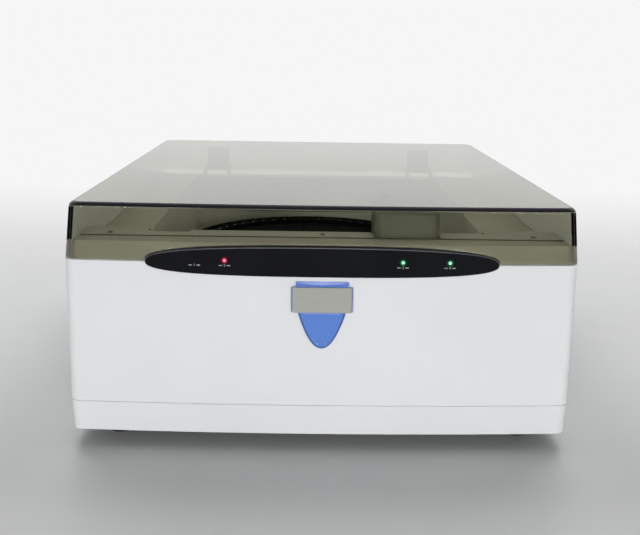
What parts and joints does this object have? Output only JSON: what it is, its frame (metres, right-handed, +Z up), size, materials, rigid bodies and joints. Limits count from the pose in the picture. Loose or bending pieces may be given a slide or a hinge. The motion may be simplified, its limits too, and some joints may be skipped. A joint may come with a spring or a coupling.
{
  "type": "autosampler",
  "caption": "Bench autosampler: a white housing with a smoked lid over a turning ring of vial seats and a lifting sampling tip.",
  "frame": {"origin": "on the ground, under the middle of the object's box", "axes": "+Z up, +X to the right seen from the front, -Y towards the front; the depth along Y is the longest"},
  "size_m": [0.44, 0.5156, 0.218],
  "materials": {
    "housing_white": "fine satin moulded plastic, pale grey white",
    "deck_grey": "satin moulded plastic, light grey",
    "smoked_lid": "clear acrylic with a smoked olive brown tint, polished",
    "panel_black": "near black glossy plastic with a soft bevel",
    "badge_blue": "mid blue glossy plastic",
    "badge_silver": "satin silver plate, bare",
    "indicator_unlit": "dark unlit lens",
    "indicator_red": "lit red lens",
    "indicator_green": "lit green lens",
    "carousel_black": "black plastic, semi-matt",
    "tower_olive": "dark olive grey plastic, semi-gloss",
    "lift_black": "black acetal",
    "tip_amber": "amber polymer nozzle",
    "steel": "zinc plated and ground steel",
    "galvanised_sheet": "bent plated sheet steel",
    "machined_aluminium": "turned aluminium",
    "motor_black": "black painted motor can",
    "rubber_foot": "black rubber",
    "rubber_belt": "black toothed belt",
    "board_green": "green laminate",
    "rocker_black": "black switch rocker"
  },
  "bodies": {
    "housing": {"base_skirt": "housing_white", "base_pan": "galvanised_sheet", "front_panel": "housing_white", "left_side_panel": "housing_white", "right_side_panel": "housing_white", "rear_panel": "housing_white", "foot_front_left": "rubber_foot", "foot_rear_left": "rubber_foot", "foot_front_right": "rubber_foot", "foot_rear_right": "rubber_foot", "deck_plate": "deck_grey", "front_ledge": "deck_grey", "carousel_well": "deck_grey", "ledge_screw_left": "steel", "ledge_screw_middle": "steel", "ledge_screw_right": "steel", "status_panel": "panel_black", "indicator_lens_1": "indicator_unlit", "indicator_lens_2": "indicator_red", "indicator_lens_3": "indicator_green", "indicator_lens_4": "indicator_green", "badge_carrier": "badge_blue", "badge_plate": "badge_silver", "hinge_bracket_left": "steel", "hinge_bracket_right": "steel", "hinge_pin_left": "steel", "hinge_pin_right": "steel", "bearing_housing": "machined_aluminium", "bearing_lower": "steel", "bearing_upper": "steel", "drive_bridge": "galvanised_sheet", "drive_belt": "rubber_belt", "carousel_motor": "motor_black", "motor_bracket": "galvanised_sheet", "tower_housing": "tower_olive", "tower_frame": "galvanised_sheet", "guide_rod_left": "steel", "guide_rod_right": "steel", "lift_motor": "motor_black", "control_board": "board_green", "power_supply": "galvanised_sheet", "power_inlet": "panel_black", "switch_bezel": "panel_black", "relay_connector": "board_green"},
    "lid": {"lid": "smoked_lid", "lid_hinge_leaf_left": "steel", "lid_hinge_leaf_right": "steel"},
    "carousel": {"carousel_plate": "carousel_black", "vial_rack_a": "carousel_black", "vial_rack_b": "carousel_black", "vial_rack_c": "carousel_black", "vial_rack_d": "carousel_black", "carousel_knob": "carousel_black", "carousel_spindle": "steel", "carousel_pulley": "machined_aluminium"},
    "motor_rotor": {"motor_pulley": "machined_aluminium"},
    "lift": {"lift_carriage": "lift_black", "sampling_tip": "tip_amber"},
    "screw": {"lift_screw": "steel"},
    "rocker": {"power_rocker": "rocker_black"}
  },
  "joints": [
    {"name": "lid_hinge", "type": "hinge", "parent": "housing", "child": "lid", "pos_m": [0, 0.24885, 0.179], "axis": [-1, 0, 0], "range_deg": [0, 95]},
    {"name": "carousel_spin", "type": "hinge", "parent": "housing", "child": "carousel", "pos_m": [-0.011, -0.03715, 0.1], "axis": [0, 0, 1], "continuous": true},
    {"name": "motor_spin", "type": "hinge", "parent": "housing", "child": "motor_rotor", "pos_m": [0.077, -0.03715, 0.05], "axis": [0, 0, 1], "continuous": true},
    {"name": "arm_lift", "type": "slide", "parent": "housing", "child": "lift", "axis": [0, 0, 1], "range_m": [-0.042, 0]},
    {"name": "lift_screw_turn", "type": "hinge", "parent": "housing", "child": "screw", "pos_m": [0.075, -0.20965, 0.15], "axis": [0, 0, 1], "range_deg": [0, 1890.5]},
    {"name": "power_rocker_tilt", "type": "hinge", "parent": "housing", "child": "rocker", "pos_m": [-0.125, 0.25285, 0.092], "axis": [-1, 0, 0], "range_deg": [0, 14]}
  ],
  "couplings": [
    {"joint": "motor_spin", "follows": "carousel_spin", "ratio": 4},
    {"joint": "lift_screw_turn", "follows": "arm_lift", "rad_per_m": -785.4}
  ]
}
